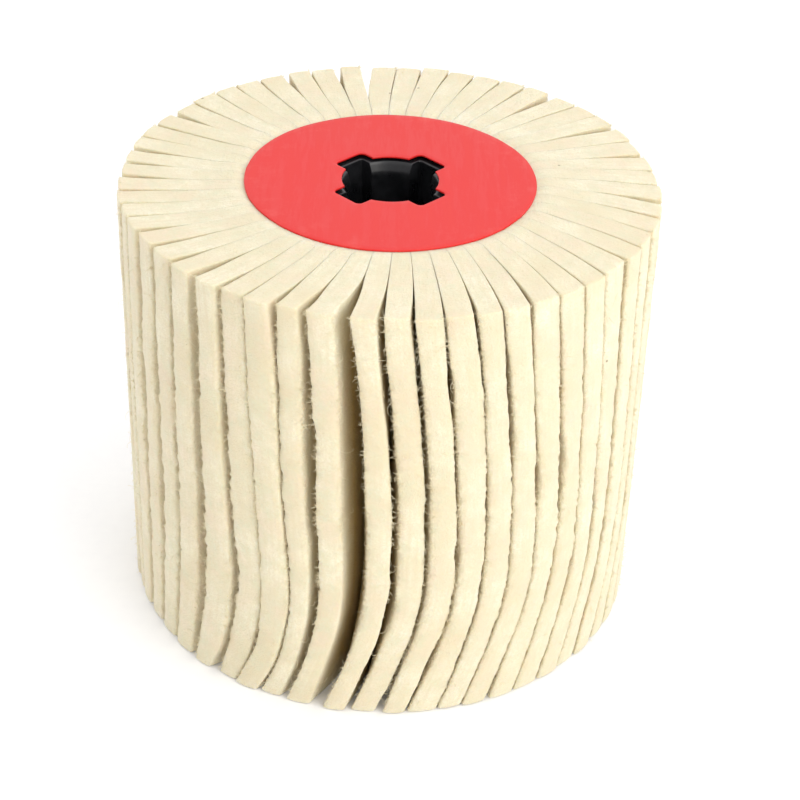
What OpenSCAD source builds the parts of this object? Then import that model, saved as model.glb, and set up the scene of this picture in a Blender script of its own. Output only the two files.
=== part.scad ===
// Felt polishing wheel: a drum of felt flaps bonded round a keyed plastic core.
// The wheel stands on one end, with its bore along Z and the bottom end at Z = 0.
// Angles go round the wheel anticlockwise from above and start at the front, which faces -Y.

/* [Wheel] */
// Diameter over the flap tips
wheel_d = 115; // [90:1:150]
// Length of the wheel along its bore
wheel_l = 100; // [60:1:120]

/* [Felt flaps] */
// Number of felt flaps round the wheel
flap_count = 54; // [36:1:56]
// Thickness of the loose felt
felt_t = 5.8; // [3:0.1:7]
// How unevenly thick the flaps are, as a share of the felt
felt_spread = 0.06; // [0:0.01:0.12]
// How much shorter than the longest flap the shortest one is cut
tip_spread = 0.9; // [0:0.1:2]
// Angle that the tips lean round at half height, in degrees
waist_lean = 2.3; // [0:0.1:7]
// How much further the tips lean at the top of the wheel, in degrees
head_lean = 4.6; // [0:0.1:5]
// How much further the tips are pushed round at the foot of the wheel, in degrees
foot_sweep = 7.2; // [0:0.1:10]
// Height of the crease where the foot of a flap starts to turn aside
crease_h = 27.5; // [20:0.5:38]
// Angle that the flaps to one side of the front bow back by above the crease, in degrees
side_bow = 3.2; // [0:0.1:3.5]

/* [Core] */
// Diameter of the spindle bore
bore_d = 19; // [12:0.5:25]
// Number of keyways round the bore
keyway_count = 4; // [2:1:4]
// Width of a keyway
keyway_w = 6.4; // [3:0.1:8]
// Depth of a keyway beyond the bore
keyway_depth = 2.7; // [1:0.1:4]
// Wall of the core behind a keyway
core_wall = 3.3; // [2:0.1:5]
// How far each end of the core stops short of the label
core_recess = 0.6; // [0:0.1:2]
// Length of the lead-in at each mouth of the bore
lead_in = 2.5; // [0.5:0.1:5]
// Number of ribs that key the core into the resin
rib_count = 9; // [3:1:16]
// Width of a rib
rib_w = 2.6; // [1:0.1:4]
// Height of a rib above the core
rib_h = 1.2; // [0.5:0.1:2]

/* [Resin bond] */
// Resin between the core and the roots of the flaps
resin_t = 3; // [2.2:0.1:5]
// How deep the roots of the flaps sit in the resin
root_depth = 3; // [1:0.1:5]
// Resin between two neighbouring roots
root_gap = 0.45; // [0.2:0.05:0.8]

/* [End labels] */
// Diameter of a label
label_d = 62.4; // [56:0.2:76]
// Thickness of a label
label_t = 0.5; // [0.2:0.1:1]
// Width of the felt that is pressed down round a label
label_ramp = 2.2; // [1:0.1:4]
// How much wider than the bore and its keyways the opening in a label is
label_clear = 0.85; // [0.3:0.05:1.5]
// Radius of the corners of that opening
label_corner = 1.3; // [0.2:0.1:2]

/* [Hidden] */
$fn = 96;
cut = 1;                // how far a cutting shape runs past what it cuts
seam_min = 0.1;         // between two flaps that press on each other
label_seam = 0.15;      // between the edge of a label and the felt round it
lead_in_r = 0.8;        // how much wider than the bore its mouth is
keyway_start = 45;      // where the first keyway is
keyway_corner = 0.5;    // radius of the corners at the floor of a keyway
hold_r = 27;            // out to this radius the neighbours hold a flap straight
bend_power = 1.2;       // how late the bend of a flap comes along its radius
gape_power = 1.3;       // how late a seam opens along its radius
evening = 0.45;         // how far the seams even out at the ends of the wheel
crease_soft = 6.5;      // length over which the crease at the foot turns
waist_soft = 14;        // length over which the waist turns into the lean at the top
sweep_mean = 0.65;      // the sweep of the foot, averaged round the wheel
sweep_swing = 0.6;      // how much it differs round the wheel
sweep_heading = 55;     // where round the wheel it is the largest
head_heading = 40;      // where round the wheel the lean of the head is the largest
head_power = 4;         // how closely the lean of the head keeps to that place
bow_heading = -23;      // where round the wheel the bow is the largest
bow_power = 70;         // how closely the bow keeps to that place
bow_share = 0.68;       // height where it is the largest, as a share of the crease's
bow_soft = 1.4;         // how fast it fades above and below that
seam_start = -5;        // where the root of the first seam is
plain_least = 0.08;     // opening of the tightest plain seam, in proportion to the others
plain_most = 0.55;       // and of the widest one

// Seams that gape: the number of the seam, and its opening on the same scale as a plain one's
GAPING = [
    [0, 5.8], [1, 1.5], [2, 1], [3, 0.7], [14, 1.6], [17, 2], [19, 2], [22, 4.2], [29, 3.6],
    [37, 3.4], [41, 1.6], [46, 1.7], [47, 1.8], [48, 1.7], [49, 2.7], [50, 1.3], [53, 2.3]
];

wheel_r = wheel_d / 2;
bore_r = bore_d / 2;
core_r = bore_r + keyway_depth + core_wall;
root_r = core_r + resin_t;
resin_r = root_r + root_depth;
label_r = label_d / 2;
pressed_r = label_r + label_seam;
free_r = label_r + label_ramp;
pitch = 360 / flap_count;
core_z = label_t + core_recess;
core_l = wheel_l - 2 * core_z;

waist_h = 1.5 * crease_h;

// Heights at which a flap's faces have an edge, close together where the felt is creased
levels = [
    0, 0.3 * crease_h, 0.6 * crease_h, 0.85 * crease_h, 1.1 * crease_h, waist_h,
    (waist_h + wheel_l) / 2, wheel_l
];
last_level = len(levels) - 1;

// Sum of a list
function total(v) = v * [for (x = v) 1];

// Number of a seam, counted on past the last one
function wrap(k) = (k + flap_count) % flap_count;

// A slope that sets in softly at d = 0
function onset(d, soft) = (d + sqrt(d * d + soft * soft)) / 2;

// Opening of each seam in proportion to the others
plain = rands(plain_least, plain_most, flap_count, 7);
function gape(k) =
    let (own = [for (g = GAPING) if (g[0] == k) g[1]])
    len(own) > 0 ? own[0] : plain[k];
gapes = [for (k = [0:flap_count - 1]) gape(k)];
mean_gape = total(gapes) / flap_count;

// Felt takes up the rim, and the seams share what it leaves
thick = [for (x = rands(-1, 1, flap_count, 11)) felt_t * (1 + felt_spread * x)];
spare = max(0, 2 * PI * wheel_r - total(thick) - flap_count * seam_min);
function gaps(z) =
    let (even = evening * pow(2 * z / wheel_l - 1, 2))
    [for (g = gapes) seam_min + spare / flap_count * (g * (1 - even) / mean_gape + even)];

// Angles of the seams at the rim, less those of their roots
function shifts(gap) =
    let (
        steps = [for (k = [0:flap_count - 1]) thick[k] + (gap[k] + gap[wrap(k + 1)]) / 2],
        round = total(steps),
        places = [for (k = 0, s = 0; k < flap_count; s = s + steps[k], k = k + 1) 360 * s / round],
        off = [for (k = [0:flap_count - 1]) places[k] - k * pitch],
        middle = total(off) / flap_count
    )
    [for (d = off) d - middle];

rim_gaps = [for (z = levels) gaps(z)];
rim_shifts = [for (gap = rim_gaps) shifts(gap)];

// Lean of a seam at the rim, which goes clockwise
function heading(k) = seam_start + k * pitch;
function foot(k, z) =
    (sweep_mean + sweep_swing * cos(heading(k) - sweep_heading))
    * onset(crease_h - z, crease_soft) / onset(crease_h, crease_soft);
function head(k, z) =
    pow((1 + cos(heading(k) - head_heading)) / 2, head_power)
    * onset(z - waist_h, waist_soft) / onset(wheel_l - waist_h, waist_soft);
function bow(k, z) =
    let (level = z / (bow_share * crease_h))
    pow((1 + cos(heading(k) - bow_heading)) / 2, bow_power)
    * pow(level * exp(1 - level), bow_soft);
function lean(k, z) =
    side_bow * bow(k, z) - waist_lean - head_lean * head(k, z) - foot_sweep * foot(k, z);

function share(r, from, power) = pow(max(0, r - from) / (wheel_r - from), power);

function gap_at(k, j, r) =
    r <= resin_r ? root_gap : seam_min + (rim_gaps[j][k] - seam_min) * share(r, free_r, gape_power);

// A flap's cut edge: where its face on the side of seam k meets level j, at radius r
function seam_angle(k, j, r) =
    heading(k)
    + share(r, hold_r, bend_power) * (rim_shifts[j][wrap(k)] + lean(k, levels[j]));
function corner(k, side, j, r, z) =
    let (
        seam = k + side,
        half_gap = gap_at(wrap(seam), j, r) / 2 / r * 180 / PI,
        a = seam_angle(seam, j, r) + (side == 0 ? half_gap : -half_gap)
    )
    [r * sin(a), -r * cos(a), z];

tips = [for (x = rands(0, 1, flap_count, 3)) wheel_r - tip_spread * x * x];
function radii(k) = [root_r, resin_r, pressed_r, free_r, (free_r + wheel_r) / 2, tips[k]];
radius_count = len(radii(0));
function end_inset(i) = i < 3 ? label_t : 0;
function height(i, j) =
    j == 0 ? end_inset(i) : j == last_level ? wheel_l - end_inset(i) : levels[j];

function flap_name(k) = str("flap_", k < 9 ? "0" : "", k + 1);

// Ways round one end of a keyway: square at the bore, with rounded corners at its floor
module keyways(clear, corner_r) {
    floor_r = bore_r + keyway_depth + clear;
    half_w = keyway_w / 2 + clear;
    for (k = [0:keyway_count - 1]) {
        rotate(keyway_start + k * 360 / keyway_count) {
            translate([0, -half_w + corner_r]) square([floor_r, 2 * (half_w - corner_r)]);
            translate([0, -half_w]) square([floor_r - corner_r, 2 * half_w]);
            for (side = [-1, 1]) {
                translate([floor_r - corner_r, side * (half_w - corner_r)]) circle(r = corner_r);
            }
        }
    }
}

// Outside of the core, which the resin grips
module core_outline() {
    circle(r = core_r);
    for (k = [0:rib_count - 1]) {
        rotate(k * 360 / rib_count) translate([0, -rib_w / 2]) square([core_r + rib_h, rib_w]);
    }
}

module core_sleeve() {
    color([0.09, 0.09, 0.10]) translate([0, 0, core_z]) difference() {
        linear_extrude(core_l) core_outline();
        translate([0, 0, -cut]) cylinder(h = core_l + 2 * cut, r = bore_r);
        translate([0, 0, -cut]) linear_extrude(core_l + 2 * cut) keyways(0, keyway_corner);
        lead_in_cone();
        translate([0, 0, core_l]) mirror([0, 0, 1]) lead_in_cone();
    }
}

module lead_in_cone() {
    cylinder(h = lead_in, r1 = bore_r + lead_in_r, r2 = bore_r);
}

// The roots of the flaps leave slots in the resin, which rises between them
module resin_bond() {
    resin_l = wheel_l - 2 * label_t;
    color([0.72, 0.55, 0.25]) translate([0, 0, label_t]) linear_extrude(resin_l) difference() {
        circle(r = resin_r);
        core_outline();
        for (k = [0:flap_count - 1]) root_slot(k);
    }
}

// The slot runs on past the resin, in line with the faces of the root
module root_slot(k) {
    low = [for (r = [root_r, resin_r]) corner(k, 0, 0, r, 0)];
    high = [for (r = [root_r, resin_r]) corner(k, 1, 0, r, 0)];
    past = cut / root_depth;
    out_low = low[1] + past * (low[1] - low[0]);
    out_high = high[1] + past * (high[1] - high[0]);
    polygon([for (p = [low[0], out_low, out_high, high[0]]) [p[0], p[1]]]);
}

module end_label() {
    linear_extrude(label_t) difference() {
        circle(r = label_r);
        circle(r = bore_r + label_clear);
        keyways(label_clear, label_corner);
    }
}

module end_label_lower() {
    color([0.92, 0.22, 0.20]) end_label();
}

module end_label_upper() {
    color([0.92, 0.22, 0.20]) translate([0, 0, wheel_l - label_t]) end_label();
}

// A flap is a block of corners: two faces, each with its radii along its heights
module flap(k) {
    nr = radius_count;
    nz = len(levels);
    r = radii(k);
    points = [
        for (side = [0, 1]) for (j = [0:nz - 1]) for (i = [0:nr - 1])
            corner(k, side, j, r[i], height(i, j))
    ];
    function at(side, j, i) = side * nz * nr + j * nr + i;
    function face(a, b, c, d) = [[a, b, c], [a, c, d]];
    function flip(tris) = [for (t = tris) [t[2], t[1], t[0]]];
    low = [
        for (j = [0:nz - 2]) for (i = [0:nr - 2])
            each face(at(0, j, i), at(0, j, i + 1), at(0, j + 1, i + 1), at(0, j + 1, i))
    ];
    high = [
        for (j = [0:nz - 2]) for (i = [0:nr - 2])
            each face(at(1, j, i), at(1, j, i + 1), at(1, j + 1, i + 1), at(1, j + 1, i))
    ];
    foot = [for (i = [0:nr - 2]) each face(at(0, 0, i), at(0, 0, i + 1), at(1, 0, i + 1), at(1, 0, i))];
    top = [
        for (i = [0:nr - 2])
            each face(at(0, nz - 1, i), at(0, nz - 1, i + 1), at(1, nz - 1, i + 1), at(1, nz - 1, i))
    ];
    root = [for (j = [0:nz - 2]) each face(at(0, j, 0), at(1, j, 0), at(1, j + 1, 0), at(0, j + 1, 0))];
    tip = [
        for (j = [0:nz - 2])
            each face(at(0, j, nr - 1), at(1, j, nr - 1), at(1, j + 1, nr - 1), at(0, j + 1, nr - 1))
    ];
    color([0.95, 0.91, 0.80])
        polyhedron(points, concat(flip(low), high, foot, flip(top), root, flip(tip)));
}

core_sleeve();
resin_bond();
end_label_lower();
end_label_upper();
for (k = [0:flap_count - 1]) {
    flap(k);
}
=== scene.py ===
"""A felt polishing wheel: what it looks like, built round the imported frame.

The wheel stands on one end with its bore along Z. A drum of felt flaps is bonded round a black moulded core,
and a red card label covers each end. Headings round the wheel start at -Y and go anticlockwise from above.
Sizes here are in millimetres, and every mesh is turned to metres when it is made.
"""

import logging
import math
from dataclasses import dataclass, field
from enum import Enum

import bpy
import numpy as np
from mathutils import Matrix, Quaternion, Vector


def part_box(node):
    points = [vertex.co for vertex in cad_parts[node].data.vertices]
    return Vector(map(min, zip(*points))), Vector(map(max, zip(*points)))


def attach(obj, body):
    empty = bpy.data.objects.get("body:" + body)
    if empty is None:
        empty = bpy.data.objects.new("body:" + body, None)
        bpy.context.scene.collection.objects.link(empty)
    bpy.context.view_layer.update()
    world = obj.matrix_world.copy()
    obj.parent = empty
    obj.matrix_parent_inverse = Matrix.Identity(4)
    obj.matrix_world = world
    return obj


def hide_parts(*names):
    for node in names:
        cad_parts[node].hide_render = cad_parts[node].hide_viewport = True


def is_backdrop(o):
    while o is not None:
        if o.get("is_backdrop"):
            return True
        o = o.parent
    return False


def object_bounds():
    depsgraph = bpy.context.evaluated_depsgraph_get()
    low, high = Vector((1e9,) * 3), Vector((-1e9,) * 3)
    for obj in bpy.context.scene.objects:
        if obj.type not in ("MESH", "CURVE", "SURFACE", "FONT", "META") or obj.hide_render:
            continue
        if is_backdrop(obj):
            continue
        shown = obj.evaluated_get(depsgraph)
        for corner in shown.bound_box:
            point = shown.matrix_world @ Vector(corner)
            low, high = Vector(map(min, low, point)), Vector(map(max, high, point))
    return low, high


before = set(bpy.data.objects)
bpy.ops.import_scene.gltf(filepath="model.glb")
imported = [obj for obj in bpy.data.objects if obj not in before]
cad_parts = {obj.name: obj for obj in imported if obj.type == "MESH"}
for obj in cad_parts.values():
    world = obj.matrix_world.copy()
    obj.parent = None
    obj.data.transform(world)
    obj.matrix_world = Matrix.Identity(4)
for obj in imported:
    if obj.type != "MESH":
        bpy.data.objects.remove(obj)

LOG = logging.getLogger("polishing_wheel")
BODY = "root"
MM = 0.001


class Side(Enum):
    """The two broad faces of a flap."""

    LOW = 0
    HIGH = 1


class End(Enum):
    """The two ends of the wheel."""

    LOWER = "end_label_lower"
    UPPER = "end_label_upper"


# ---------------------------------------------------------------- small tools


def linear(code: str) -> tuple[float, float, float, float]:
    """Turns an sRGB colour to linear light.

    Args:
        code: The colour as six hex digits after a hash.

    Returns:
        Red, green, blue and an alpha of one.
    """
    parts = [int(code[i:i + 2], 16) / 255 for i in (1, 3, 5)]
    light = [c / 12.92 if c <= 0.04045 else ((c + 0.055) / 1.055) ** 2.4 for c in parts]
    return light[0], light[1], light[2], 1.0


def per_mm(size: float) -> float:
    """Gives the scale of a pattern whose features are `size` millimetres wide, on coordinates in metres."""
    return 1 / (size * MM)


def add_node(tree: bpy.types.NodeTree, kind: str, settings: dict | None = None, inputs: dict | None = None):
    """Adds a node with its settings and links.

    Args:
        tree: The tree that the node goes in.
        kind: The node's type name.
        settings: Its properties by name.
        inputs: Its sockets by name or number, each with a value or with another node's output to link.

    Returns:
        The node.
    """
    node = tree.nodes.new(kind)
    for name, value in (settings or {}).items():
        setattr(node, name, value)
    for name, value in (inputs or {}).items():
        if isinstance(value, bpy.types.NodeSocket):
            tree.links.new(value, node.inputs[name])
        else:
            node.inputs[name].default_value = value
    return node


def new_material(name: str) -> tuple[bpy.types.Material, bpy.types.NodeTree]:
    """Makes an empty material.

    Args:
        name: The material's name.

    Returns:
        The material and its node tree, with nothing in it.
    """
    material = bpy.data.materials.new(name)
    material.use_nodes = True
    material.node_tree.nodes.clear()
    return material, material.node_tree


def mesh_object(
        name: str, points: np.ndarray, faces: list, material: bpy.types.Material) -> bpy.types.Object:
    """Makes a smooth-shaded mesh object.

    Args:
        name: The object's name.
        points: Its vertices in millimetres, one row each.
        faces: Its faces, as lists of vertex numbers.
        material: What it is made of.

    Returns:
        The object, linked to the scene.
    """
    mesh = bpy.data.meshes.new(name)
    mesh.from_pydata((points * MM).tolist(), [], faces)
    mesh.materials.append(material)
    mesh.shade_smooth()
    mesh.update()
    thing = bpy.data.objects.new(name, mesh)
    bpy.context.scene.collection.objects.link(thing)
    return thing


def smoothstep(low: float, high: float, value: np.ndarray) -> np.ndarray:
    """Rises softly from 0 at `low` to 1 at `high`."""
    t = np.clip((value - low) / (high - low), 0, 1)
    return t * t * (3 - 2 * t)


def turned(angle: np.ndarray) -> np.ndarray:
    """Brings an angle in radians to between minus and plus half a turn."""
    return (angle + math.pi) % (2 * math.pi) - math.pi


def heading_of(points: np.ndarray) -> np.ndarray:
    """Gives the heading of places round the wheel, in radians."""
    return np.arctan2(points[..., 0], -points[..., 1])


def place_round(radius: np.ndarray, heading: np.ndarray, height: np.ndarray) -> np.ndarray:
    """Turns a radius, a heading in radians and a height to a place."""
    return np.stack([radius * np.sin(heading), -radius * np.cos(heading), height], axis=1)


def spline_weights(knots: np.ndarray, where: np.ndarray) -> np.ndarray:
    """Works out a natural cubic spline as weights on the values at its knots.

    Args:
        knots: The places of the values, rising.
        where: The places to read the spline at. Outside the knots it goes on straight.

    Returns:
        One row per place and one column per knot.
    """
    n = len(knots)
    h = np.diff(knots)
    bend = np.eye(n)
    load = np.zeros((n, n))
    for i in range(1, n - 1):
        bend[i, i - 1:i + 2] = h[i - 1], 2 * (h[i - 1] + h[i]), h[i]
        load[i, i - 1:i + 2] = 6 / h[i - 1], -6 / h[i - 1] - 6 / h[i], 6 / h[i]
    curve = np.linalg.solve(bend, load)
    rise = np.zeros((n - 1, n))
    for i in range(n - 1):
        rise[i, i], rise[i, i + 1] = -1 / h[i], 1 / h[i]
    i = np.clip(np.searchsorted(knots, where) - 1, 0, n - 2)
    inside = np.clip(where, knots[0], knots[-1])
    t = (inside - knots[i])[:, None]
    slope = rise[i] - h[i][:, None] * (2 * curve[i] + curve[i + 1]) / 6
    third = (curve[i + 1] - curve[i]) / h[i][:, None]
    value = np.eye(n)[i] + slope * t + curve[i] * t ** 2 / 2 + third * t ** 3 / 6
    past = slope + curve[i] * t + third * t ** 2 / 2
    return value + past * (where - inside)[:, None]


@dataclass(frozen=True)
class SmoothNoise:
    """Soft random values between -1 and 1 that are the same each run."""

    seed: int

    def at(self, points: np.ndarray, cell: tuple[float, float, float]) -> np.ndarray:
        """Reads the noise.

        Args:
            points: Places in millimetres, one row each.
            cell: The size of its features along each axis.

        Returns:
            One value per place.
        """
        table = np.random.default_rng(self.seed).uniform(-1, 1, 4096)
        place = points / np.array(cell)
        low = np.floor(place).astype(np.int64)
        t = place - low
        t = t * t * (3 - 2 * t)
        total = np.zeros(len(points))
        for corner in np.ndindex(2, 2, 2):
            x, y, z = (low + corner).T
            hashed = (x * 73856093) ^ (y * 19349663) ^ (z * 83492791)
            weight = np.prod(np.where(corner, t, 1 - t), axis=1)
            total += weight * table[hashed & 4095]
        return total


# ------------------------------------------------------------------- finishes


@dataclass(frozen=True)
class Mottle:
    """One tint that lies in the felt in soft patches of one size."""

    tint: str
    size: float
    low: float
    high: float
    most: float
    detail: float
    roughness: float = 0.5
    distortion: float = 0.0
    slice: float | None = None
    flatten: float = 1.0


@dataclass(frozen=True)
class PressedWoolFelt:
    """Undyed wool felt, pressed and die-cut, with cream colour and a dry matt surface."""

    cream: str = "#ece5cc"
    oatmeal: str = "#dccfae"
    blush: str = "#e4d1b7"
    sage: str = "#d9d6b8"
    fleck: str = "#8d7b5e"
    # The tan that is painted deep in the seams as shade
    painted_seam_shade: str = "#c6a85a"
    sheen: str = "#fff8e6"
    coordinates: str = "felt"
    depth: str = "seam_depth"

    def mottles(self) -> tuple[Mottle, ...]:
        """Lists the tints in the wool, from the broadest patches to the finest.

        Returns:
            The mottles, in the order that they cover each other.
        """
        return (
            # The fleece is blended from many animals, so broad clouds of oatmeal and blush lie in the cream
            Mottle(self.oatmeal, 17, 0.4, 0.66, 0.95, detail=3, roughness=0.55),
            Mottle(self.blush, 9, 0.46, 0.68, 0.85, detail=2, slice=5),
            # Smaller patches where one fleece was greener than the next
            Mottle(self.sage, 4, 0.46, 0.64, 0.8, detail=3, roughness=0.6, slice=2),
            # Tangled fibres 0.03 mm thick are drawn as 0.7 mm wisps, because the real ones don't show
            Mottle(self.oatmeal, 0.7, 0.4, 0.66, 0.8, detail=4, roughness=0.6, distortion=1.8),
            # Felt is pressed in layers, which the cut edges show as faint lines along the faces
            Mottle(self.oatmeal, 0.8, 0.4, 0.75, 0.6, detail=2, flatten=14),
        )

    def material(self) -> bpy.types.Material:
        """Builds the material on coordinates that are bent with the felt.

        Returns:
            The material.
        """
        material, tree = new_material("pressed_wool_felt")
        place = add_node(tree, "ShaderNodeAttribute", {"attribute_name": self.coordinates}).outputs["Vector"]

        mixes = []
        for mottle in self.mottles():
            where = place
            if mottle.flatten != 1:
                squashed = (1 / mottle.flatten, 1 / mottle.flatten, 1)
                where = add_node(tree, "ShaderNodeMapping", inputs={
                    "Vector": place, "Scale": squashed}).outputs["Vector"]
            sliced = mottle.slice is not None
            pattern = add_node(tree, "ShaderNodeTexNoise", {"noise_dimensions": "4D" if sliced else "3D"}, {
                "Vector": where, "Scale": per_mm(mottle.size), "Detail": mottle.detail,
                "Roughness": mottle.roughness, "Distortion": mottle.distortion,
                **({"W": mottle.slice} if sliced else {})}).outputs["Fac"]
            amount = add_node(tree, "ShaderNodeMapRange", inputs={
                "Value": pattern, "From Min": mottle.low, "From Max": mottle.high,
                "To Max": mottle.most}).outputs["Result"]
            mixes.append((mottle.tint, amount))

        # A few bits of chaff stay in the wool
        chaff = add_node(tree, "ShaderNodeTexVoronoi", inputs={
            "Vector": place, "Scale": per_mm(11), "Randomness": 1})
        chaffed = add_node(tree, "ShaderNodeMapRange", inputs={
            "Value": chaff.outputs["Distance"], "From Min": 0.022, "From Max": 0.034,
            "To Min": 0.75, "To Max": 0}).outputs["Result"]

        # Painted shade: deep in a seam, counted in widths of the seam, the wool is tinted from cream to tan
        # where little light gets down
        depth = add_node(tree, "ShaderNodeAttribute", {"attribute_name": self.depth}).outputs["Fac"]
        seam_shade_amount = add_node(tree, "ShaderNodeMapRange", inputs={
            "Value": depth, "From Min": 0.1, "From Max": 3.4}).outputs["Result"]

        colour = linear(self.cream)
        for tint, amount in (*mixes, (self.fleck, chaffed), (self.painted_seam_shade, seam_shade_amount)):
            colour = add_node(tree, "ShaderNodeMix", {"data_type": "RGBA"}, {
                0: amount, 6: colour, 7: linear(tint)}).outputs[2]

        nap = add_node(tree, "ShaderNodeTexNoise", inputs={
            "Vector": place, "Scale": per_mm(0.45), "Detail": 3, "Roughness": 0.65,
            "Distortion": 0.8}).outputs["Fac"]
        lumps = add_node(tree, "ShaderNodeTexNoise", inputs={
            "Vector": place, "Scale": per_mm(2.6), "Detail": 2}).outputs["Fac"]
        lumpy = add_node(tree, "ShaderNodeBump", inputs={
            "Height": lumps, "Strength": 0.7, "Distance": 0.5 * MM}).outputs["Normal"]
        napped = add_node(tree, "ShaderNodeBump", inputs={
            "Height": nap, "Normal": lumpy, "Strength": 1.0, "Distance": 0.3 * MM}).outputs["Normal"]
        dry = add_node(tree, "ShaderNodeMapRange", inputs={
            "Value": nap, "To Min": 0.86, "To Max": 1.0}).outputs["Result"]

        # Light goes a little way into wool, and its loose ends catch light at a grazing angle
        skin = add_node(tree, "ShaderNodeBsdfPrincipled", inputs={
            "Base Color": colour, "Roughness": dry, "Normal": napped, "IOR": 1.45,
            "Specular IOR Level": 0.15, "Subsurface Weight": 0.4,
            "Subsurface Radius": (1.0, 0.75, 0.45), "Subsurface Scale": 2 * MM,
            "Sheen Weight": 0.25, "Sheen Roughness": 0.55, "Sheen Tint": linear(self.sheen)})
        add_node(tree, "ShaderNodeOutputMaterial", inputs={"Surface": skin.outputs["BSDF"]})
        return material


@dataclass(frozen=True)
class LooseWool:
    """Single wool fibres pulled out of the felt, in its own cream, some paler and some darker."""

    darker: str = "#e4d9b8"
    paler: str = "#f4e9ca"

    def material(self) -> bpy.types.Material:
        """Builds the material.

        Returns:
            The material.
        """
        material, tree = new_material("loose_wool")
        place = add_node(tree, "ShaderNodeTexCoord").outputs["Object"]
        strands = add_node(tree, "ShaderNodeTexNoise", inputs={
            "Vector": place, "Scale": per_mm(1.1), "Detail": 1}).outputs["Fac"]
        varied = add_node(tree, "ShaderNodeMapRange", inputs={
            "Value": strands, "From Min": 0.3, "From Max": 0.7}).outputs["Result"]
        colour = add_node(tree, "ShaderNodeMix", {"data_type": "RGBA"}, {
            0: varied, 6: linear(self.darker), 7: linear(self.paler)}).outputs[2]
        skin = add_node(tree, "ShaderNodeBsdfPrincipled", inputs={
            "Base Color": colour, "Roughness": 0.8, "IOR": 1.55, "Specular IOR Level": 0.1})
        add_node(tree, "ShaderNodeOutputMaterial", inputs={"Surface": skin.outputs["BSDF"]})
        return material


@dataclass(frozen=True)
class CoatedCard:
    """Card printed a flat red and coated, with a satin surface that scuffs paler."""

    red: str = "#d2211d"
    fresh: str = "#d41a16"
    scuff: str = "#d84a42"

    def material(self) -> bpy.types.Material:
        """Builds the material.

        Returns:
            The material.
        """
        material, tree = new_material("coated_red_card")
        place = add_node(tree, "ShaderNodeTexCoord").outputs["Object"]

        # The ink is laid a little unevenly, in patches a few centimetres wide
        patches = add_node(tree, "ShaderNodeTexNoise", inputs={
            "Vector": place, "Scale": per_mm(26), "Detail": 2}).outputs["Fac"]
        patchy = add_node(tree, "ShaderNodeMapRange", inputs={
            "Value": patches, "From Min": 0.35, "From Max": 0.65}).outputs["Result"]
        inked = add_node(tree, "ShaderNodeMix", {"data_type": "RGBA"}, {
            0: patchy, 6: linear(self.fresh), 7: linear(self.red)}).outputs[2]

        # Handling drags faint pale streaks across the coat
        drag = add_node(tree, "ShaderNodeMapping", inputs={
            "Vector": place, "Rotation": (0, 0, 0.5), "Scale": (1, 1 / 9, 1)}).outputs["Vector"]
        streaks = add_node(tree, "ShaderNodeTexNoise", inputs={
            "Vector": drag, "Scale": per_mm(1.6), "Detail": 4, "Roughness": 0.65}).outputs["Fac"]
        scuffed = add_node(tree, "ShaderNodeMapRange", inputs={
            "Value": streaks, "From Min": 0.52, "From Max": 0.8, "To Max": 0.45}).outputs["Result"]
        # Fingers rub the coat off in blotches round its edge
        reach = add_node(tree, "ShaderNodeVectorMath", {"operation": "LENGTH"}, {
            0: add_node(tree, "ShaderNodeVectorMath", {"operation": "MULTIPLY"}, {
                0: place, 1: (1, 1, 0)}).outputs[0]}).outputs["Value"]
        outer = add_node(tree, "ShaderNodeMapRange", {"interpolation_type": "SMOOTHSTEP"}, {
            "Value": reach, "From Min": 19 * MM, "From Max": 31 * MM, "To Max": 0.55}).outputs["Result"]
        blotches = add_node(tree, "ShaderNodeTexNoise", inputs={
            "Vector": place, "Scale": per_mm(5), "Detail": 5, "Roughness": 0.7}).outputs["Fac"]
        blotched = add_node(tree, "ShaderNodeMapRange", inputs={
            "Value": blotches, "From Min": 0.5, "From Max": 0.72, "To Max": outer}).outputs["Result"]
        worn = add_node(tree, "ShaderNodeMath", {"operation": "MAXIMUM"}, {
            0: scuffed, 1: blotched}).outputs[0]
        colour = add_node(tree, "ShaderNodeMix", {"data_type": "RGBA"}, {
            0: worn, 6: inked, 7: linear(self.scuff)}).outputs[2]

        fibres = add_node(tree, "ShaderNodeTexNoise", inputs={
            "Vector": place, "Scale": per_mm(0.9), "Detail": 3}).outputs["Fac"]
        satin = add_node(tree, "ShaderNodeMapRange", inputs={
            "Value": streaks, "From Min": 0.4, "From Max": 0.7,
            "To Min": 0.42, "To Max": 0.6}).outputs["Result"]
        grain = add_node(tree, "ShaderNodeBump", inputs={
            "Height": fibres, "Strength": 0.25, "Distance": 0.03 * MM}).outputs["Normal"]
        skin = add_node(tree, "ShaderNodeBsdfPrincipled", inputs={
            "Base Color": colour, "Roughness": satin, "Normal": grain, "IOR": 1.5,
            "Specular IOR Level": 0.4, "Coat Weight": 0.08, "Coat Roughness": 0.35})
        add_node(tree, "ShaderNodeOutputMaterial", inputs={"Surface": skin.outputs["BSDF"]})
        return material


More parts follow.
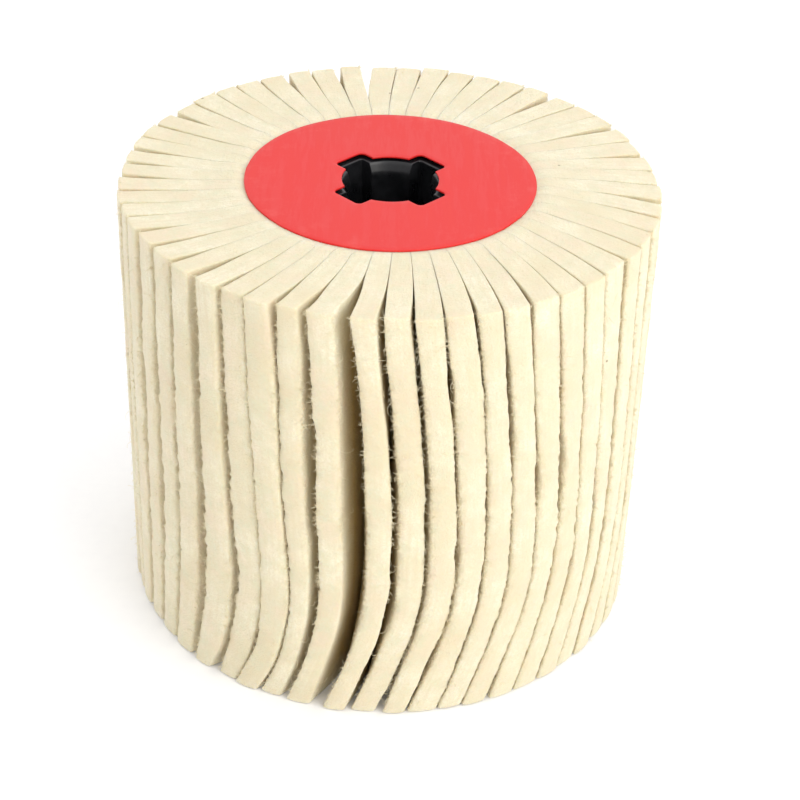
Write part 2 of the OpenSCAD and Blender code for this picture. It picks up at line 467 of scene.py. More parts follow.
@dataclass(frozen=True)
class MouldedNylon:
    """Black glass-filled nylon from an injection mould, semi-gloss with faint draw lines along the bore."""

    black: str = "#101113"
    worn: str = "#2a2b2e"

    def material(self) -> bpy.types.Material:
        """Builds the material.

        Returns:
            The material.
        """
        material, tree = new_material("moulded_black_nylon")
        place = add_node(tree, "ShaderNodeTexCoord").outputs["Object"]

        # The core pin leaves lines along Z as it is drawn out of the bore
        drawn = add_node(tree, "ShaderNodeMapping", inputs={
            "Vector": place, "Scale": (1, 1, 1 / 30)}).outputs["Vector"]
        lines = add_node(tree, "ShaderNodeTexNoise", inputs={
            "Vector": drawn, "Scale": per_mm(0.7), "Detail": 3}).outputs["Fac"]
        # Glass fibre near the skin makes cloudy greyer patches
        clouds = add_node(tree, "ShaderNodeTexNoise", inputs={
            "Vector": place, "Scale": per_mm(4), "Detail": 4, "Roughness": 0.6}).outputs["Fac"]
        cloudy = add_node(tree, "ShaderNodeMapRange", inputs={
            "Value": clouds, "From Min": 0.45, "From Max": 0.8, "To Max": 0.6}).outputs["Result"]
        colour = add_node(tree, "ShaderNodeMix", {"data_type": "RGBA"}, {
            0: cloudy, 6: linear(self.black), 7: linear(self.worn)}).outputs[2]
        gloss = add_node(tree, "ShaderNodeMapRange", inputs={
            "Value": clouds, "From Min": 0.3, "From Max": 0.7,
            "To Min": 0.24, "To Max": 0.42}).outputs["Result"]
        grain = add_node(tree, "ShaderNodeBump", inputs={
            "Height": lines, "Strength": 0.35, "Distance": 0.04 * MM}).outputs["Normal"]
        skin = add_node(tree, "ShaderNodeBsdfPrincipled", inputs={
            "Base Color": colour, "Roughness": gloss, "Normal": grain, "IOR": 1.53})
        add_node(tree, "ShaderNodeOutputMaterial", inputs={"Surface": skin.outputs["BSDF"]})
        return material


@dataclass(frozen=True)
class CastEpoxy:
    """Amber epoxy resin, cast round the roots of the flaps and left to cure, glossy with small bubbles."""

    amber: str = "#c08f45"
    brown: str = "#8a5c22"

    def material(self) -> bpy.types.Material:
        """Builds the material.

        Returns:
            The material.
        """
        material, tree = new_material("cast_epoxy_resin")
        place = add_node(tree, "ShaderNodeTexCoord").outputs["Object"]
        pools = add_node(tree, "ShaderNodeTexNoise", inputs={
            "Vector": place, "Scale": per_mm(6), "Detail": 3}).outputs["Fac"]
        pooled = add_node(tree, "ShaderNodeMapRange", inputs={
            "Value": pools, "From Min": 0.35, "From Max": 0.65}).outputs["Result"]
        colour = add_node(tree, "ShaderNodeMix", {"data_type": "RGBA"}, {
            0: pooled, 6: linear(self.amber), 7: linear(self.brown)}).outputs[2]
        bubbles = add_node(tree, "ShaderNodeTexVoronoi", inputs={
            "Vector": place, "Scale": per_mm(1.8)}).outputs["Distance"]
        pits = add_node(tree, "ShaderNodeMapRange", inputs={
            "Value": bubbles, "From Max": 0.25}).outputs["Result"]
        pitted = add_node(tree, "ShaderNodeBump", inputs={
            "Height": pits, "Strength": 0.6, "Distance": 0.12 * MM}).outputs["Normal"]
        skin = add_node(tree, "ShaderNodeBsdfPrincipled", inputs={
            "Base Color": colour, "Roughness": 0.22, "Normal": pitted, "IOR": 1.55,
            "Subsurface Weight": 0.3, "Subsurface Radius": (1.0, 0.6, 0.2), "Subsurface Scale": 2 * MM})
        add_node(tree, "ShaderNodeOutputMaterial", inputs={"Surface": skin.outputs["BSDF"]})
        return material


@dataclass(frozen=True)
class BackdropPaper:
    """White seamless paper, matt."""

    white: str = "#fbfbfb"
    shade: str = "#f6f6f7"

    def material(self) -> bpy.types.Material:
        """Builds the material.

        Returns:
            The material.
        """
        material, tree = new_material("backdrop_paper")
        place = add_node(tree, "ShaderNodeTexCoord").outputs["Object"]
        tooth = add_node(tree, "ShaderNodeTexNoise", inputs={
            "Vector": place, "Scale": per_mm(3), "Detail": 2}).outputs["Fac"]
        colour = add_node(tree, "ShaderNodeMix", {"data_type": "RGBA"}, {
            0: tooth, 6: linear(self.white), 7: linear(self.shade)}).outputs[2]
        skin = add_node(tree, "ShaderNodeBsdfPrincipled", inputs={
            "Base Color": colour, "Roughness": 0.9, "Specular IOR Level": 0.2})
        add_node(tree, "ShaderNodeOutputMaterial", inputs={"Surface": skin.outputs["BSDF"]})
        return material


# ----------------------------------------------------------------- felt flaps


@dataclass
class FlapShape:
    """The shape of one flap in the frame: two faces, each known along a few heights at a few radii."""

    name: str
    radius_count: int = 6
    level_count: int = 8
    heading: float = field(init=False)
    radii: np.ndarray = field(init=False)
    levels: np.ndarray = field(init=False)
    ends: np.ndarray = field(init=False)
    angles: np.ndarray = field(init=False)

    def __post_init__(self) -> None:
        """Reads the flap's corners from the frame and puts them in order."""
        corners = np.array([v.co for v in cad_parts[self.name].data.vertices]) / MM
        corners = np.unique(corners.round(3), axis=0)
        middle = corners.mean(axis=0)
        self.heading = float(heading_of(middle))
        reach = np.hypot(corners[:, 0], corners[:, 1])
        angle = turned(heading_of(corners) - self.heading)
        shape = (self.radius_count, self.level_count, len(Side))
        outward = np.argsort(reach).reshape(self.radius_count, -1)
        upward = np.take_along_axis(outward, np.argsort(corners[outward, 2], axis=1), axis=1).reshape(shape)
        order = np.take_along_axis(upward, np.argsort(angle[upward], axis=2), axis=2)
        self.radii = reach[order].mean(axis=(1, 2))
        heights = corners[order, 2].mean(axis=2)
        self.levels = heights[-1]
        self.ends = heights[:, [0, -1]]
        self.angles = angle[order]

    def face(self, side: Side, radius: np.ndarray, height: np.ndarray) -> np.ndarray:
        """Gives where a face lies, drawn smoothly through its corners.

        Args:
            side: Which face.
            radius: Distances from the axis.
            height: Heights above the foot of the wheel, one per radius.

        Returns:
            The heading of the face at each of those places, in radians.
        """
        across = spline_weights(self.radii, radius)
        along = spline_weights(self.levels, height)
        return self.heading + np.einsum("nr,rl,nl->n", across, self.angles[:, :, side.value], along)

    def end(self, which: End, radius: np.ndarray) -> np.ndarray:
        """Gives the height of the flap's lower or upper end, which the label presses in."""
        column = 0 if which is End.LOWER else 1
        return np.interp(radius, self.radii, self.ends[:, column])


@dataclass
class FeltFlap:
    """One flap of felt between its two neighbours, as a block with cut edges that follows its folds."""

    index: int
    shape: FlapShape
    before: FlapShape
    after: FlapShape
    flap_count: int
    row_step: float = 0.5
    # Radii of the knife's edge where the felt is free and where the label presses it
    cut_round: float = 0.38
    pressed_round: float = 0.04
    # Radii where the felt starts to sway, its seams start and are free to open, and it buckles
    sway_from: float = 28
    seam_from: float = 33
    seam_free: float = 53
    buckle_from: float = 44
    loose_from: float = 42
    loose_to: float = 57
    # How much is left of a seam that is pressed shut, and how far the felt goes sideways
    closed_seam: float = 0.02
    sway: float = 0.42
    hollow: float = 0.25
    buckle: float = 1.7
    # How far the rim is worn in at its edges and across, and how far the tips spring out past the frame's
    ragged: float = 0.3
    crown: float = 0.22
    bulge: float = 0.22
    spring: float = 0.45
    seam_mouth: float = 1.0
    # Steps that keep the noise of one seam, face, flap and sheet apart from the next one's
    seam_step: float = 61.7
    face_step: float = 1000
    flap_step: float = 97.3
    sheet_step: float = 211.0
    faces: list = field(init=False, default_factory=list)
    points: np.ndarray = field(init=False)
    flat: np.ndarray = field(init=False)
    depth: np.ndarray = field(init=False)

    def grid(self) -> tuple[np.ndarray, list]:
        """Lays out the skin of a block, with lines close together at its edges.

        Returns:
            The place of each point, as distances in from the tip, up from the foot and across the felt (where
            the last is a share of its thickness), and the faces that join them.
        """
        r = self.cut_round
        length = self.shape.radii[-1] - self.shape.radii[0]
        near = [0, 0.45 * r, r, 0.8, 1.5, 2.4, 3.6, 5, 7, 9, 11.5, 14, 17, 20]
        ramp = self.shape.radii[-1] - np.linspace(self.shape.radii[3] + 1, self.shape.radii[2] - 0.4, 6)
        inward = np.concatenate([near, ramp, [length - 7, length - 3, length]])
        tall = self.shape.levels[-1]
        rows = np.linspace(r, tall - r, round(tall / self.row_step))
        upward = np.concatenate([[0, 0.45 * r], rows, [tall - 0.45 * r, tall]])
        across = np.array([0, 0.03, 0.08, 0.25, 0.5, 0.75, 0.92, 0.97, 1])
        shape = (len(inward), len(upward), len(across))
        number = np.full(shape, -1)
        skin = np.zeros(shape, bool)
        for axis in range(3):
            for end in (0, -1):
                skin[tuple(end if a == axis else slice(None) for a in range(3))] = True
        number[skin] = np.arange(skin.sum())
        i, j, k = np.nonzero(skin)
        faces = []
        for axis in range(3):
            for end in (0, -1):
                sheet = number[tuple(end if a == axis else slice(None) for a in range(3))]
                quads = np.stack([sheet[:-1, :-1], sheet[1:, :-1], sheet[1:, 1:], sheet[:-1, 1:]], axis=-1)
                quads = quads.reshape(-1, 4)
                # Radii run inward, so a face turns outward in the opposite sense from a plain block's
                outward = (end == 0) == (axis == 1)
                faces.extend((quads if outward else quads[:, ::-1]).tolist())
        return np.stack([inward[i], upward[j], across[k]], axis=1), faces

    def wall(self, side: Side, radius: np.ndarray, height: np.ndarray) -> tuple[np.ndarray, np.ndarray]:
        """Gives one face, clear of the neighbour's facing one.

        Args:
            side: Which face.
            radius: Distances from the axis.
            height: Heights, one per radius.

        Returns:
            The heading of the face in radians, and how wide the seam in front of it is.
        """
        high = side is Side.HIGH
        other, facing = (self.after, Side.LOW) if high else (self.before, Side.HIGH)
        seam = (self.index + side.value) % self.flap_count
        out = 1 if high else -1
        tip = self.shape.radii[-1]
        own = self.shape.face(side, radius, height)
        half = turned(other.face(facing, radius, height) - own) / 2
        # Two neighbours share the sway of the seam between them, and each one's hollows go into its own felt
        place = np.stack([np.full_like(radius, self.seam_step * seam), radius, height], axis=1)
        sway = SmoothNoise(5).at(place, cell=(1, 20, 27))
        sway = sway + 0.18 * SmoothNoise(6).at(place, cell=(1, 9, 9))
        own_place = place + (self.face_step * (1 + side.value), 0, 0)
        hollow = np.maximum(0, SmoothNoise(8).at(own_place, cell=(1, 11, 10)))
        hollow = hollow + 0.25 * (1 + SmoothNoise(9).at(own_place, cell=(1, 2.6, 2.6)))
        shift = smoothstep(self.sway_from, tip, radius) * (self.sway * sway - out * self.hollow * hollow)
        # Narrow seams are pressed shut for most of their height, and spring open where the felt buckles
        spring = SmoothNoise(7).at(place * (1, 0, 1), cell=(1, 1, 14))
        gap = 2 * np.abs(half) * radius
        gap = np.maximum(0, gap - self.closed_seam) * smoothstep(0.1, 1.1, gap + 0.35 * spring)
        gap *= smoothstep(self.seam_from, self.seam_free, radius)
        gap += self.buckle * np.maximum(0, spring - 0.25) * smoothstep(self.buckle_from, tip, radius)
        return own + half + (shift - out * (gap + self.closed_seam) / 2) / radius, gap

    def shape_block(self) -> None:
        """Bends the block along the flap's faces, and rounds and roughens its cut edges."""
        block, self.faces = self.grid()
        tip, head_level = self.shape.radii[-1], self.shape.levels[-1]
        radius, height, share = tip - block[:, 0], block[:, 1], block[:, 2]
        (low, _), (high, _) = (self.wall(side, radius, height) for side in Side)
        thick = (high - low) * radius

        # Edges are rounded, hardly at all where the label presses the flaps together
        loose = smoothstep(self.loose_from, self.loose_to, radius)
        r = self.pressed_round + (self.cut_round - self.pressed_round) * loose
        long = np.full_like(r, tip - self.shape.radii[0])
        size = np.stack([long, np.full_like(r, head_level), thick], axis=1)
        solid = np.stack([block[:, 0], height, share * thick], axis=1)
        core = np.clip(solid, r[:, None], size - r[:, None])
        off = solid - core
        reach = np.linalg.norm(off, axis=1, keepdims=True)
        solid = core + off * r[:, None] / np.maximum(reach, 1e-9)

        # The cut edges at the rim are ragged, most of all halfway up
        seed = np.stack([self.flap_step * self.index + 0 * height, height, share * 6], axis=1)
        fine = SmoothNoise(21).at(seed, cell=(1, 0.9, 2.2))
        fine = fine + 0.6 * SmoothNoise(22).at(seed, cell=(1, 2.4, 3))
        rim = 1 - smoothstep(0, 1.1, block[:, 0])
        edge = 1 - smoothstep(0.02, 0.16, np.minimum(share, 1 - share))
        worn = 0.3 + 0.7 * np.sin(math.pi * height / head_level)
        eaten = self.ragged * worn * rim * edge * (0.6 + fine)
        dished = self.crown * rim * (0.5 + 0.5 * SmoothNoise(23).at(seed, cell=(1, 6, 9)))
        bowed = rim * (self.bulge * (2 * share - 1) ** 2 - self.spring)
        solid[:, 0] += np.maximum(0, eaten) + dished + bowed
        middle = solid[:, 2] - thick / 2
        solid[:, 2] = thick / 2 + middle * (1 - np.clip(0.8 * eaten / np.maximum(thick, 1), -0.02, 0.2))

        # The ends of the flap are not quite level with its neighbours'
        lift = np.random.default_rng(300 + self.index).uniform(0.02, 0.3, 2)
        top_place = np.stack([self.flap_step * self.index + 0 * radius, radius, share * 6], axis=1)
        rough = 0.5 + 0.5 * SmoothNoise(31).at(top_place, cell=(1, 3.5, 4))
        up = height / head_level
        out = smoothstep(33.5, 40, radius)
        drop = out * (lift[0] * up - 0.5 * lift[1] * (1 - up))
        near_end = smoothstep(0, 1, np.abs(2 * up - 1) ** 12)
        drop += out * 0.12 * rough * near_end * np.sign(up - 0.5)

        radius = tip - solid[:, 0]
        height = solid[:, 1]
        bottom, top = self.shape.end(End.LOWER, radius), self.shape.end(End.UPPER, radius)
        z = bottom + (top - bottom) * height / head_level - drop
        (low, low_gap), (high, high_gap) = (self.wall(side, radius, height) for side in Side)
        share = np.clip(solid[:, 2] / np.maximum((high - low) * radius, 1e-6), 0, 1)
        angle = low + (high - low) * share
        self.points = place_round(radius, angle, z)
        self.flat = np.stack([radius + self.sheet_step * self.index, height, solid[:, 2]], axis=1)
        # Counted in widths of the seam in front, because little light gets down a narrow one
        depth = np.minimum(tip - radius, np.minimum(height, head_level - height))
        self.depth = depth / (np.where(share < 0.5, low_gap, high_gap) + self.seam_mouth)

    def build(self, felt: bpy.types.Material) -> bpy.types.Object:
        """Makes the flap in place of its plain solid.

        Args:
            felt: What it is made of.

        Returns:
            The flap.
        """
        self.shape_block()
        flap = mesh_object(self.shape.name + "_felt", self.points, self.faces, felt)
        place = flap.data.attributes.new(PressedWoolFelt.coordinates, "FLOAT_VECTOR", "POINT")
        place.data.foreach_set("vector", (self.flat * MM).astype(np.float32).ravel())
        depth = flap.data.attributes.new(PressedWoolFelt.depth, "FLOAT", "POINT")
        depth.data.foreach_set("value", self.depth.astype(np.float32))
        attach(flap, BODY)
        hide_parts(self.shape.name)
        return flap


@dataclass
class Nap:
    """Loose wool fibres that stand out of a flap's cut edges and walls."""

    flap: FeltFlap
    fringe: int = 680
    strays: int = 60
    steps: int = 6
    # Wool is about 0.03 mm thick, and is drawn as a twist of several fibres so that it shows
    fibre_d: float = 0.1

    def roots(self, rng: np.random.Generator) -> np.ndarray:
        """Chooses where the fibres grow: the fringe from the cut edges, the strays from anywhere near them.

        Args:
            rng: What makes the choice.

        Returns:
            The numbers of the points on the flap's skin.
        """
        flap = self.flap
        reach = np.hypot(flap.points[:, 0], flap.points[:, 1])
        inward = flap.shape.radii[-1] - reach
        thick = np.maximum(flap.flat[:, 2].max(), 1)
        across = flap.flat[:, 2] / thick
        edge = np.minimum(across, 1 - across) < 0.1
        end = flap.flat[:, 1] > flap.shape.levels[-1] - 1
        grown = (reach > 38) & (flap.points[:, 2] > 1)
        fringe = grown * edge * (np.exp(-inward / 0.5) + 0.06 * end * np.exp(-inward / 8))
        stray = grown * (np.exp(-inward / 5.0) + 0.2 * (inward < 1))
        chosen = [rng.choice(len(inward), n, p=chance / chance.sum())
                  for n, chance in ((self.fringe, fringe), (self.strays, stray))]
        return np.concatenate(chosen)

    def lines(self, rng: np.random.Generator) -> tuple[np.ndarray, np.ndarray, np.ndarray]:
        """Draws the fibres as curls.

        Args:
            rng: What makes them differ.

        Returns:
            The points along each fibre, its direction there, and the way that its curl faces.
        """
        chosen = self.roots(rng)
        n = len(chosen)
        root = self.flap.points[chosen]
        reach = np.hypot(root[:, 0], root[:, 1])
        angle = heading_of(root)
        radial = place_round(1, angle, 0 * angle)
        round_way = np.stack([np.cos(angle), np.sin(angle), 0 * angle], axis=1)
        (low, _), (high, _) = (self.flap.wall(side, reach, root[:, 2]) for side in Side)
        side = np.sign(turned(angle - (low + high) / 2))[:, None]
        root[:, 2] += rng.uniform(-0.3, 0.3, n)
        lie = rng.normal(size=(n, 3)) * (0.3, 0.55, 0.9)
        way = np.abs(lie[:, :1]) * radial + (0.35 + np.abs(lie[:, 1:2])) * side * round_way
        way = way + lie[:, 2:] * np.array([0, 0, 1.0])
        way /= np.linalg.norm(way, axis=1, keepdims=True)
        aside = np.cross(way, rng.normal(size=(n, 3)))
        aside /= np.linalg.norm(aside, axis=1, keepdims=True)
        stray = np.arange(n) >= self.fringe
        long, short = rng.uniform(1.2, 3.6, n), rng.uniform(0.4, 1.2, n)
        length = np.where(stray, long, short * rng.uniform(0.6, 1.4, n))
        curl = np.where(stray, rng.uniform(1.5, 6, n), rng.uniform(0.3, 2.6, n))
        turn = curl[:, None] * np.linspace(0, 1, self.steps)
        heading = np.cos(turn)[..., None] * way[:, None] + np.sin(turn)[..., None] * aside[:, None]
        step = heading * (length / (self.steps - 1))[:, None, None]
        line = root[:, None] - 0.1 * way[:, None] + np.cumsum(step, axis=1) - step[:, :1]
        return line, heading, np.cross(way, aside)

    def build(self, wool: bpy.types.Material, flap_object: bpy.types.Object) -> bpy.types.Object:
        """Makes the fibres of one flap as thin closed tubes.

        Args:
            wool: What they are made of.
            flap_object: The flap that they grow from.

        Returns:
            The fibres, as one piece that goes with the flap.
        """
        line, heading, third = self.lines(np.random.default_rng(700 + self.flap.index))
        first = np.cross(third[:, None], heading)
        thin = self.fibre_d / 2 * (1 - 0.5 * np.linspace(0, 1, self.steps))
        rings = []
        for corner in range(3):
            a = 2 * math.pi * corner / 3
            rings.append(line + thin[:, None] * (math.cos(a) * first + math.sin(a) * third[:, None]))
        tubes = np.stack(rings, axis=2).reshape(-1, 3)
        tubes[:, 2] = np.maximum(tubes[:, 2], self.fibre_d)
        base = 3 * self.steps * np.arange(len(line))[:, None, None]
        start, corner = np.meshgrid(3 * np.arange(self.steps - 1), np.arange(3), indexing="ij")
        after = (corner + 1) % 3
        walls = np.stack([start + corner, start + after, start + after + 3, start + corner + 3], axis=-1)
        last = 3 * (self.steps - 1)
        caps = np.array([[2, 1, 0], [last, last + 1, last + 2]])
        faces = (base + walls.reshape(1, -1, 4)).reshape(-1, 4).tolist()
        faces += (base + caps).reshape(-1, 3).tolist()
        nap = mesh_object(self.flap.shape.name + "_nap", tubes, faces, wool)
        nap.parent = flap_object
        return nap


@dataclass
class FlapDrum:
    """All the flaps round the wheel, with their nap."""

    felt: PressedWoolFelt = field(default_factory=PressedWoolFelt)
    wool: LooseWool = field(default_factory=LooseWool)

    def build(self) -> list[bpy.types.Object]:
        """Makes every flap and its nap.

        Returns:
            The flaps.
        """
        names = sorted(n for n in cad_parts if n.startswith("flap_"))
        shapes = [FlapShape(name) for name in names]
        felt, wool = self.felt.material(), self.wool.material()
        flaps = []
        for k, shape in enumerate(shapes):
            flap = FeltFlap(k, shape, shapes[k - 1], shapes[(k + 1) % len(shapes)], len(shapes))
            flaps.append(flap.build(felt))
            Nap(flap).build(wool, flaps[-1])
        LOG.info("%d felt flaps", len(flaps))
        return flaps


# ------------------------------------------------------------ core and labels


@dataclass(frozen=True)
class KeyedOutline:
    """A round hole with square keyways on its diagonals."""

    hole_r: float
    half_w: float
    floor_r: float
    corner_r: float
    count: int = 4
    start: float = math.radians(45)

    def radius(self, angle: np.ndarray) -> np.ndarray:
        """Gives how far the outline is from its centre.

        Args:
            angle: Directions in radians.

        Returns:
            The distance in each direction.
        """
        sector = 2 * math.pi / self.count
        phi = np.abs((angle - self.start + sector / 2) % sector - sector / 2)
        c, s = np.cos(phi), np.maximum(np.sin(phi), 1e-9)
        flat_w, flat_r = self.half_w - self.corner_r, self.floor_r - self.corner_r
        along = flat_r * c + flat_w * s
        arc = along + np.sqrt(np.maximum(along ** 2 - flat_r ** 2 - flat_w ** 2 + self.corner_r ** 2, 0))
        floor, wall = self.floor_r / c, self.half_w / s
        way = np.where(floor * s <= flat_w, floor, np.where(wall * c <= flat_r, wall, arc))
        return np.maximum(way, self.hole_r)


def ring_mesh(radius: np.ndarray, height: np.ndarray, angle: np.ndarray) -> tuple[np.ndarray, list]:
    """Sweeps a closed profile round the axis.

    Args:
        radius: The radius of each point of the profile, one row per point and one column per angle.
        height: Its height, laid out the same way. The profile runs up the hole and down the outside.
        angle: The directions of the columns, in radians.

    Returns:
        The points and the faces.
    """
    rows, columns = radius.shape
    points = np.stack([radius * np.cos(angle), radius * np.sin(angle), height], axis=-1).reshape(-1, 3)
    i, j = np.meshgrid(np.arange(rows), np.arange(columns), indexing="ij")
    up, on = (i + 1) % rows, (j + 1) % columns
    faces = np.stack([i * columns + j, up * columns + j, up * columns + on, i * columns + on], axis=-1)
    return points, faces.reshape(-1, 4).tolist()


@dataclass
class EndLabel:
    """A disc of red card glued over one end of the wheel, with a die-cut opening for the spindle."""

    end: End
    opening: KeyedOutline = KeyedOutline(hole_r=10.35, half_w=4.05, floor_r=13.05, corner_r=1.3)
    edge_round: float = 0.13
    edge_wander: float = 0.3
    buckle: float = 0.1
    columns: int = 720
    rings: int = 16

    def build(self, card: bpy.types.Material) -> bpy.types.Object:
        """Makes the label in place of its plain solid.

        Args:
            card: What it is made of.

        Returns:
            The label.
        """
        low, high = (np.array(corner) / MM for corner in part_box(self.end.value))
        outer_r = (high[0] - low[0]) / 2
        thick = high[2] - low[2]
        angle = np.linspace(0, 2 * math.pi, self.columns, endpoint=False)
        circle = np.stack([np.cos(angle), np.sin(angle), 0 * angle], axis=1)
        seed = 41 if self.end is End.UPPER else 43
        wander = SmoothNoise(seed).at(circle * outer_r, cell=(9, 9, 1))
        wander += 0.4 * SmoothNoise(seed + 1).at(circle * outer_r, cell=(2.5, 2.5, 1))
        hole = self.opening.radius(angle)
        rim = outer_r - self.edge_wander * (0.35 + 0.35 * wander)
        # The knife rounds the card's edges over a little
        e = self.edge_round
        lip = [(e, 0), (0.3 * e, 0.3 * e), (0, e), (0, thick - e), (0.3 * e, thick - 0.3 * e), (e, thick)]
        radius = [hole + across for across, _ in lip]
        height = [0 * angle + up for _, up in lip]
        for share in np.linspace(0, 1, self.rings)[1:-1]:
            radius.append(hole + e + (rim - hole - 2 * e) * share)
            height.append(0 * angle + thick)
        for across, up in reversed(lip):
            radius.append(rim - across)
            height.append(0 * angle + up)
        for share in np.linspace(1, 0, 4)[1:-1]:
            radius.append(hole + e + (rim - hole - 2 * e) * share)
            height.append(0 * angle)
        radius, height = np.array(radius), np.array(height)
        if self.end is End.LOWER:
            height = thick - height
        points, faces = ring_mesh(radius, height, angle)
        # The visible side buckles very slightly over the ends of the flaps
        place = points * (1, 1, 0)
        sag = self.buckle * (0.5 + 0.5 * SmoothNoise(seed + 2).at(place, cell=(13, 13, 1)))
        upper = self.end is End.UPPER
        shown = points[:, 2] / thick if upper else 1 - points[:, 2] / thick
        points[:, 2] += low[2] - sag * shown * (1 if upper else -1)
        if self.end is End.LOWER:
            faces = [f[::-1] for f in faces]
        label = mesh_object(self.end.value + "_card", points, faces, card)
        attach(label, BODY)
        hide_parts(self.end.value)
        return label


@dataclass
class CoreSleeve:
    """The moulded core: a sleeve with a bore, four keyways and ribs that grip the resin."""

    node: str = "core_sleeve"
    bore_r: float = 9.5
    keyway_half_w: float = 3.2
    keyway_floor_r: float = 12.2
    keyway_corner: float = 0.5
    lead_in: float = 2.5
    lead_in_r: float = 0.8
    mouth_round: float = 0.3
    outer_r: float = 15.5
    rib_count: int = 9
    rib_half_w: float = 1.3
    rib_h: float = 1.2
    columns: int = 720

    def bore(self, depth: float, angle: np.ndarray) -> np.ndarray:
        """Gives the outline of the bore.

        Args:
            depth: How far in from the nearer mouth.
            angle: Directions in radians.

        Returns:
            The radius in each direction.
        """
        wider = self.lead_in_r * max(0, 1 - depth / self.lead_in)
        turn = max(0, 1 - depth / self.mouth_round)
        rounded = self.mouth_round * (1 - math.sqrt(1 - turn ** 2))
        outline = KeyedOutline(
            self.bore_r + wider, self.keyway_half_w, self.keyway_floor_r, self.keyway_corner)
        return outline.radius(angle) + rounded

    def outside(self, angle: np.ndarray) -> np.ndarray:
        """Gives the outline of the outside with its ribs.

        Args:
            angle: Directions in radians.

        Returns:
            The radius in each direction.
        """
        sector = 2 * math.pi / self.rib_count
        phi = np.abs((angle + sector / 2) % sector - sector / 2)
        crest = (self.outer_r + self.rib_h) / np.cos(phi)
        flank = self.rib_half_w / np.maximum(np.sin(phi), 1e-9)
        return np.maximum(np.minimum(crest, flank), self.outer_r)

    def build(self, plastic: bpy.types.Material) -> bpy.types.Object:
        """Makes the core in place of its plain solid.

        Args:
            plastic: What it is made of.

        Returns:
            The core.
        """
        low, high = (np.array(corner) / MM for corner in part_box(self.node))
        length = high[2] - low[2]
        angle = np.linspace(0, 2 * math.pi, self.columns, endpoint=False)
        mouth = [0, 0.08, 0.3, 0.6, 1]
        depths = [d * self.mouth_round for d in mouth] + list(np.linspace(0.8, self.lead_in, 4)) + [3.2, 5]
        heights = depths + list(np.linspace(8, length - 8, 16)) + [length - d for d in reversed(depths)]
        radius = [self.bore(min(h, length - h), angle) for h in heights]
        height = [0 * angle + h for h in heights]
        inner, outer = radius[0], self.outside(angle)
        for share in (0.15, 0.5, 0.85):
            radius.append(inner + (outer - inner) * share)
            height.append(0 * angle + length)
        for h in (length, length * 0.5, 0):
            radius.append(outer)
            height.append(0 * angle + h)
        for share in (0.85, 0.5, 0.15):
            radius.append(inner + (outer - inner) * share)
            height.append(0 * angle)
        points, faces = ring_mesh(np.array(radius), np.array(height), angle)
        points[:, 2] += low[2]
        core = mesh_object(self.node + "_moulding", points, faces, plastic)
        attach(core, BODY)
        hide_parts(self.node)
        return core


@dataclass
class ResinBond:
    """The cured resin between the core and the roots of the flaps, with the shape it has in the frame."""

    node: str = "resin_bond"

    def dress(self, resin: bpy.types.Material) -> bpy.types.Object:
        """Gives the resin its finish.

        Args:
            resin: The finish.

        Returns:
            The resin.
        """
        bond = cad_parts[self.node]
        bond.data.materials.clear()
        bond.data.materials.append(resin)
        return bond


# --------------------------------------------------------------------- studio


@dataclass
class Softbox:
    """A large soft lamp that looks at the wheel."""

    name: str
    azimuth: float
    elevation: float
    distance: float
    side: float
    watts: float
    tint: str = "#ffffff"

    def build(self, aim: Vector, unit: float) -> bpy.types.Object:
        """Hangs the lamp.

        Args:
            aim: What it looks at, in metres.
            unit: The width of the wheel in metres, which its distance and side are multiples of.

        Returns:
            The lamp.
        """
        lamp = bpy.data.lights.new(self.name, "AREA")
        lamp.shape = "SQUARE"
        lamp.size = self.side * unit
        lamp.energy = self.watts
        lamp.color = linear(self.tint)[:3]
        a, e = math.radians(self.azimuth), math.radians(self.elevation)
        back = Vector((math.sin(a) * math.cos(e), -math.cos(a) * math.cos(e), math.sin(e)))
        thing = bpy.data.objects.new(self.name, lamp)
        thing.location = aim + back * self.distance * unit
        thing.rotation_euler = back.to_track_quat("Z", "Y").to_euler()
        bpy.context.scene.collection.objects.link(thing)
        return thing


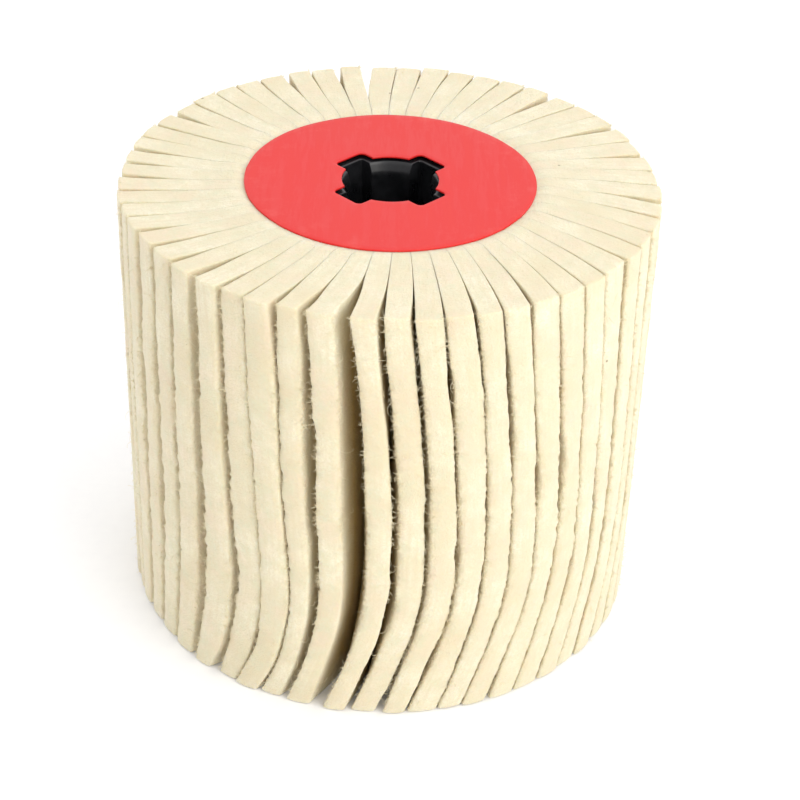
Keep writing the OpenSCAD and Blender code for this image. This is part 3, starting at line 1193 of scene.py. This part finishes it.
@dataclass
class Studio:
    """A white paper floor, soft lamps and the camera."""

    camera_elevation: float = 34.26
    camera_distance: float = 4.069
    camera_roll: float = 1.6
    aim_height: float = 0.367
    lens: float = 91.07
    shift: tuple[float, float] = (0.0206, 0.0304)
    floor_width: float = 60.0
    sky: float = 1.15

    def build(self) -> None:
        """Makes the floor, the sky, the lamps and the camera."""
        low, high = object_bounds()
        wide, tall = high.x - low.x, high.z - low.z
        aim = Vector((0, 0, low.z + self.aim_height * tall))
        self.make_floor(low.z, wide)
        self.make_sky()
        for lamp in (
            Softbox("key_lamp", azimuth=44, elevation=30, distance=6, side=3.5, watts=1.9, tint="#fffdf8"),
            Softbox("top_lamp", azimuth=150, elevation=68, distance=6, side=5, watts=0.4),
        ):
            lamp.build(aim, wide)
        self.make_camera(aim, wide)
        bpy.context.scene.view_settings.view_transform = "Standard"
        LOG.info("floor, lamps and camera")

    def make_floor(self, level: float, wide: float) -> None:
        """Lays the paper.

        Args:
            level: Its height in metres.
            wide: The width of the wheel in metres.
        """
        half = self.floor_width * wide / 2 / MM
        corners = np.array([[-half, -half, 0], [half, -half, 0], [half, half, 0], [-half, half, 0]])
        floor = mesh_object("paper_floor", corners, [(0, 1, 2, 3)], BackdropPaper().material())
        floor.location.z = level - 0.05 * MM
        floor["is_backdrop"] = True

    def make_sky(self) -> None:
        """Surrounds the wheel with even white light."""
        world = bpy.data.worlds.new("white_sky")
        world.use_nodes = True
        world.node_tree.nodes.clear()
        glow = add_node(world.node_tree, "ShaderNodeBackground", inputs={
            "Color": linear("#fdfdff"), "Strength": self.sky})
        add_node(world.node_tree, "ShaderNodeOutputWorld", inputs={"Surface": glow.outputs["Background"]})
        bpy.context.scene.world = world

    def make_camera(self, aim: Vector, wide: float) -> None:
        """Sets the camera in front of the wheel, looking down on it.

        Args:
            aim: What it looks at, in metres.
            wide: The width of the wheel in metres.
        """
        lens = bpy.data.cameras.new("camera")
        lens.lens = self.lens
        lens.shift_x, lens.shift_y = self.shift
        camera = bpy.data.objects.new("camera", lens)
        e = math.radians(self.camera_elevation)
        back = Vector((0, -math.cos(e), math.sin(e)))
        camera.location = aim + back * self.camera_distance * wide
        roll = Quaternion((0, 0, 1), math.radians(self.camera_roll))
        camera.rotation_euler = (back.to_track_quat("Z", "Y") @ roll).to_euler()
        bpy.context.scene.collection.objects.link(camera)
        bpy.context.scene.camera = camera


def main() -> None:
    """Builds the wheel and its surroundings."""
    logging.basicConfig(level=logging.INFO, format="%(name)s: %(message)s")
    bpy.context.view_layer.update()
    Studio().build()
    core = CoreSleeve().build(MouldedNylon().material())
    LOG.info("%s", core.name)
    bond = ResinBond().dress(CastEpoxy().material())
    LOG.info("%s", bond.name)
    card = CoatedCard().material()
    for end in End:
        LOG.info("%s", EndLabel(end).build(card).name)
    FlapDrum().build()
    bpy.context.view_layer.update()


if __name__ == "__main__":
    main()
